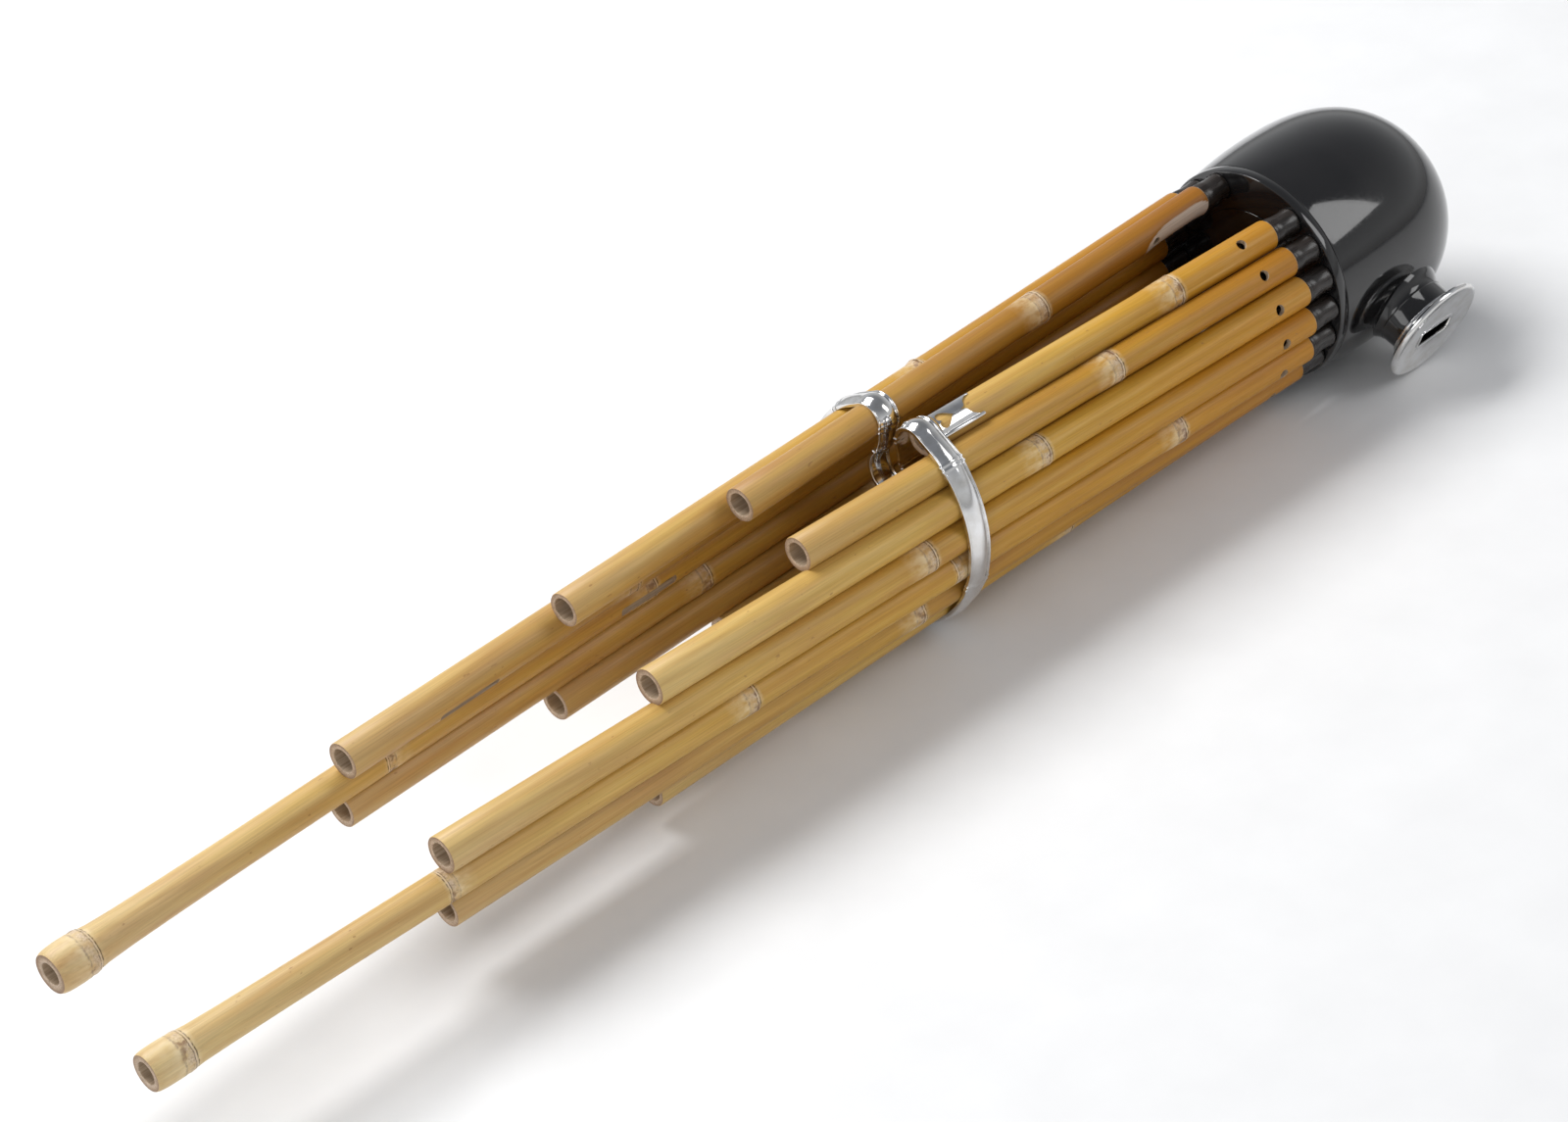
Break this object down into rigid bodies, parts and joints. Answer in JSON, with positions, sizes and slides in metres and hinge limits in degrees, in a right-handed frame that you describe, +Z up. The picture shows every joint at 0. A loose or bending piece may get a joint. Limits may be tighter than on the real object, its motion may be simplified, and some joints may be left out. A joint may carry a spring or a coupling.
{
  "type": "sho mouth organ",
  "caption": "Free-reed mouth organ with a ring of bamboo pipes set in a round black lacquered wind chest, held by a metal band, with a short flanged mouthpiece.",
  "frame": {"origin": "centre of the chest plate's flat face, where the pipes enter the wind chest", "axes": "X along the instrument: the pipes reach towards -X and the bottom of the bowl faces +X; +Z up as the instrument lies on a table, with the finger gap 5.5 degrees from +Z towards -Y"},
  "size_m": [0.5265, 0.0902, 0.0753],
  "materials": {
    "black_lacquer": "gloss lacquer",
    "stem_wood": "satin lacquer",
    "bamboo": "smoked, satin",
    "silver": "polished",
    "reed_brass": "satin"
  },
  "bodies": {
    "chest": {"wind_chest": "black_lacquer", "chest_plate": "black_lacquer", "mouthpiece_neck": "black_lacquer", "mouthpiece_cap": "silver", "silver_band": "silver", "heart_plate": "silver"},
    "body_pipe_01_sen": {"pipe_01_sen": "bamboo", "stem_01_sen": "stem_wood"},
    "body_reed_01_sen": {"reed_01_sen": "reed_brass"},
    "body_pipe_02_ju": {"pipe_02_ju": "bamboo", "stem_02_ju": "stem_wood"},
    "body_reed_02_ju": {"reed_02_ju": "reed_brass"},
    "body_pipe_03_ge": {"pipe_03_ge": "bamboo", "stem_03_ge": "stem_wood"},
    "body_reed_03_ge": {"reed_03_ge": "reed_brass"},
    "body_pipe_04_otsu": {"pipe_04_otsu": "bamboo", "stem_04_otsu": "stem_wood"},
    "body_reed_04_otsu": {"reed_04_otsu": "reed_brass"},
    "body_pipe_05_ku": {"pipe_05_ku": "bamboo", "stem_05_ku": "stem_wood"},
    "body_reed_05_ku": {"reed_05_ku": "reed_brass"},
    "body_pipe_06_bi": {"pipe_06_bi": "bamboo", "stem_06_bi": "stem_wood"},
    "body_reed_06_bi": {"reed_06_bi": "reed_brass"},
    "body_pipe_07_ichi": {"pipe_07_ichi": "bamboo", "stem_07_ichi": "stem_wood"},
    "body_reed_07_ichi": {"reed_07_ichi": "reed_brass"},
    "body_pipe_08_hachi": {"pipe_08_hachi": "bamboo", "stem_08_hachi": "stem_wood"},
    "body_reed_08_hachi": {"reed_08_hachi": "reed_brass"},
    "body_pipe_09_ya": {"pipe_09_ya": "bamboo", "stem_09_ya": "stem_wood"},
    "body_pipe_10_gon": {"pipe_10_gon": "bamboo", "stem_10_gon": "stem_wood"},
    "body_reed_10_gon": {"reed_10_gon": "reed_brass"},
    "body_pipe_11_shichi": {"pipe_11_shichi": "bamboo", "stem_11_shichi": "stem_wood"},
    "body_reed_11_shichi": {"reed_11_shichi": "reed_brass"},
    "body_pipe_12_gyo": {"pipe_12_gyo": "bamboo", "stem_12_gyo": "stem_wood"},
    "body_reed_12_gyo": {"reed_12_gyo": "reed_brass"},
    "body_pipe_13_jo": {"pipe_13_jo": "bamboo", "stem_13_jo": "stem_wood"},
    "body_reed_13_jo": {"reed_13_jo": "reed_brass"},
    "body_pipe_14_bo": {"pipe_14_bo": "bamboo", "stem_14_bo": "stem_wood"},
    "body_reed_14_bo": {"reed_14_bo": "reed_brass"},
    "body_pipe_15_kotsu": {"pipe_15_kotsu": "bamboo", "stem_15_kotsu": "stem_wood"},
    "body_reed_15_kotsu": {"reed_15_kotsu": "reed_brass"},
    "body_pipe_16_mo": {"pipe_16_mo": "bamboo", "stem_16_mo": "stem_wood"},
    "body_pipe_17_hi": {"pipe_17_hi": "bamboo", "stem_17_hi": "stem_wood"},
    "body_reed_17_hi": {"reed_17_hi": "reed_brass"}
  },
  "joints": [
    {"name": "pull_out_01_sen", "type": "slide", "parent": "chest", "child": "body_pipe_01_sen", "axis": [-0.9993, 0.0318, 0.0179], "range_m": [0, 0.022]},
    {"name": "bend_reed_01_sen", "type": "hinge", "parent": "body_pipe_01_sen", "child": "body_reed_01_sen", "pos_m": [0.02019, -0.01613, 0.02305], "axis": [0.0364, 0.841, 0.5399], "range_deg": [-3, 3], "stiffness_Nm_per_rad": 0.001},
    {"name": "pull_out_02_ju", "type": "slide", "parent": "chest", "child": "body_pipe_02_ju", "axis": [-0.9994, 0.0293, 0.0203], "range_m": [0, 0.022]},
    {"name": "bend_reed_02_ju", "type": "hinge", "parent": "body_pipe_02_ju", "child": "body_reed_02_ju", "pos_m": [0.02021, -0.02295, 0.01672], "axis": [0.0341, 0.618, 0.7854], "range_deg": [-3, 3], "stiffness_Nm_per_rad": 0.001},
    {"name": "pull_out_03_ge", "type": "slide", "parent": "chest", "child": "body_pipe_03_ge", "axis": [-0.9994, 0.0277, 0.0197], "range_m": [0, 0.022]},
    {"name": "bend_reed_03_ge", "type": "hinge", "parent": "body_pipe_03_ge", "child": "body_reed_03_ge", "pos_m": [0.02023, -0.02736, 0.00857], "axis": [0.0277, 0.3271, 0.9446], "range_deg": [-3, 3], "stiffness_Nm_per_rad": 0.001},
    {"name": "pull_out_04_otsu", "type": "slide", "parent": "chest", "child": "body_pipe_04_otsu", "axis": [-0.9995, 0.0256, 0.0186], "range_m": [0, 0.022]},
    {"name": "bend_reed_04_otsu", "type": "hinge", "parent": "body_pipe_04_otsu", "child": "body_reed_04_otsu", "pos_m": [0.02025, -0.02883, -0.00057], "axis": [0.0186, 0, 0.9998], "range_deg": [-3, 3], "stiffness_Nm_per_rad": 0.001},
    {"name": "pull_out_05_ku", "type": "slide", "parent": "chest", "child": "body_pipe_05_ku", "axis": [-0.9996, 0.0216, 0.0176], "range_m": [0, 0.022]},
    {"name": "bend_reed_05_ku", "type": "hinge", "parent": "body_pipe_05_ku", "child": "body_reed_05_ku", "pos_m": [0.02025, -0.02717, -0.00972], "axis": [0.0095, -0.3272, 0.9449], "range_deg": [-3, 3], "stiffness_Nm_per_rad": 0.001},
    {"name": "pull_out_06_bi", "type": "slide", "parent": "chest", "child": "body_pipe_06_bi", "axis": [-0.9998, 0.0144, 0.0149], "range_m": [0, 0.022]},
    {"name": "bend_reed_06_bi", "type": "hinge", "parent": "body_pipe_06_bi", "child": "body_reed_06_bi", "pos_m": [0.02024, -0.02249, -0.0178], "axis": [0.0028, -0.6184, 0.7859], "range_deg": [-3, 3], "stiffness_Nm_per_rad": 0.001},
    {"name": "pull_out_07_ichi", "type": "slide", "parent": "chest", "child": "body_pipe_07_ichi", "axis": [-1, 0.0067, 0.0072], "range_m": [0, 0.022]},
    {"name": "bend_reed_07_ichi", "type": "hinge", "parent": "body_pipe_07_ichi", "child": "body_reed_07_ichi", "pos_m": [0.02022, -0.01536, -0.02382], "axis": [-0.0018, -0.8415, 0.5402], "range_deg": [-3, 3], "stiffness_Nm_per_rad": 0.001},
    {"name": "pull_out_08_hachi", "type": "slide", "parent": "chest", "child": "body_pipe_08_hachi", "axis": [-1, 0.0021, -0.0011], "range_m": [0, 0.022]},
    {"name": "bend_reed_08_hachi", "type": "hinge", "parent": "body_pipe_08_hachi", "child": "body_reed_08_hachi", "pos_m": [0.0202, -0.00666, -0.02723], "axis": [-0.0023, -0.972, 0.2351], "range_deg": [-3, 3], "stiffness_Nm_per_rad": 0.001},
    {"name": "pull_out_09_ya", "type": "slide", "parent": "chest", "child": "body_pipe_09_ya", "axis": [-1, 0.0004, -0.0044], "range_m": [0, 0.022]},
    {"name": "pull_out_10_gon", "type": "slide", "parent": "chest", "child": "body_pipe_10_gon", "axis": [-1, -0.0016, -0.0014], "range_m": [0, 0.022]},
    {"name": "bend_reed_10_gon", "type": "hinge", "parent": "body_pipe_10_gon", "child": "body_reed_10_gon", "pos_m": [0.0202, 0.01173, -0.02546], "axis": [0.0021, -0.9092, -0.4163], "range_deg": [-3, 3], "stiffness_Nm_per_rad": 0.001},
    {"name": "pull_out_11_shichi", "type": "slide", "parent": "chest", "child": "body_pipe_11_shichi", "axis": [-1, -0.0075, 0.0056], "range_m": [0, 0.022]},
    {"name": "bend_reed_11_shichi", "type": "hinge", "parent": "body_pipe_11_shichi", "child": "body_reed_11_shichi", "pos_m": [0.02022, 0.01961, -0.02045], "axis": [0.0016, -0.723, -0.6909], "range_deg": [-3, 3], "stiffness_Nm_per_rad": 0.001},
    {"name": "pull_out_12_gyo", "type": "slide", "parent": "chest", "child": "body_pipe_12_gyo", "axis": [-0.9998, -0.0164, 0.0117], "range_m": [0, 0.022]},
    {"name": "bend_reed_12_gyo", "type": "hinge", "parent": "body_pipe_12_gyo", "child": "body_reed_12_gyo", "pos_m": [0.02024, 0.02545, -0.01318], "axis": [-0.0029, -0.4571, -0.8894], "range_deg": [-3, 3], "stiffness_Nm_per_rad": 0.001},
    {"name": "pull_out_13_jo", "type": "slide", "parent": "chest", "child": "body_pipe_13_jo", "axis": [-0.9996, -0.0244, 0.0136], "range_m": [0, 0.022]},
    {"name": "bend_reed_13_jo", "type": "hinge", "parent": "body_pipe_13_jo", "child": "body_reed_13_jo", "pos_m": [0.02025, 0.02852, -0.00437], "axis": [-0.01, -0.1409, -0.99], "range_deg": [-3, 3], "stiffness_Nm_per_rad": 0.001},
    {"name": "pull_out_14_bo", "type": "slide", "parent": "chest", "child": "body_pipe_14_bo", "axis": [-0.9995, -0.0281, 0.0128], "range_m": [0, 0.022]},
    {"name": "bend_reed_14_bo", "type": "hinge", "parent": "body_pipe_14_bo", "child": "body_reed_14_bo", "pos_m": [0.02025, 0.0284, 0.00496], "axis": [-0.0179, 0.1908, -0.9815], "range_deg": [-3, 3], "stiffness_Nm_per_rad": 0.001},
    {"name": "pull_out_15_kotsu", "type": "slide", "parent": "chest", "child": "body_pipe_15_kotsu", "axis": [-0.9994, -0.0302, 0.0139], "range_m": [0, 0.022]},
    {"name": "bend_reed_15_kotsu", "type": "hinge", "parent": "body_pipe_15_kotsu", "child": "body_reed_15_kotsu", "pos_m": [0.02023, 0.0252, 0.01364], "axis": [-0.0272, 0.5013, -0.8648], "range_deg": [-3, 3], "stiffness_Nm_per_rad": 0.001},
    {"name": "pull_out_16_mo", "type": "slide", "parent": "chest", "child": "body_pipe_16_mo", "axis": [-0.9994, -0.0321, 0.0144], "range_m": [0, 0.022]},
    {"name": "pull_out_17_hi", "type": "slide", "parent": "chest", "child": "body_pipe_17_hi", "axis": [-0.9994, -0.034, 0.0114], "range_m": [0, 0.022]},
    {"name": "bend_reed_17_hi", "type": "hinge", "parent": "body_pipe_17_hi", "child": "body_reed_17_hi", "pos_m": [0.02019, 0.01141, 0.02571], "axis": [-0.0358, 0.9285, -0.3695], "range_deg": [-3, 3], "stiffness_Nm_per_rad": 0.001}
  ]
}
